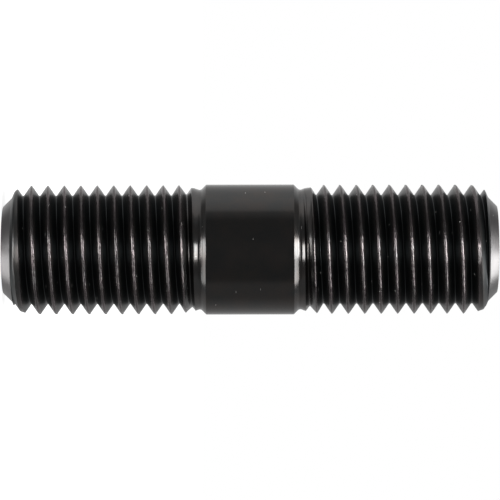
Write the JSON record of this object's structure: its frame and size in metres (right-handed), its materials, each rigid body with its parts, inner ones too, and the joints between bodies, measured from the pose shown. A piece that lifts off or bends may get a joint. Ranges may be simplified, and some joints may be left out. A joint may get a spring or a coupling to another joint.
{
  "type": "stud bolt",
  "caption": "Double-ended stud bolt in black-finished steel, with a rolled right-hand thread at both ends and a plain shank between them.",
  "frame": {"origin": "centre of the lower end face, on which the stud stands", "axes": "+Z along the stud's axis, from the lower end face to the upper one; +X and +Y are square to it"},
  "size_m": [0.0158, 0.0158, 0.06],
  "materials": {
    "black_steel": "black oxide on steel, oiled, with bright worn thread crests"
  },
  "bodies": {
    "root": {"stud": "black_steel"}
  },
  "joints": []
}
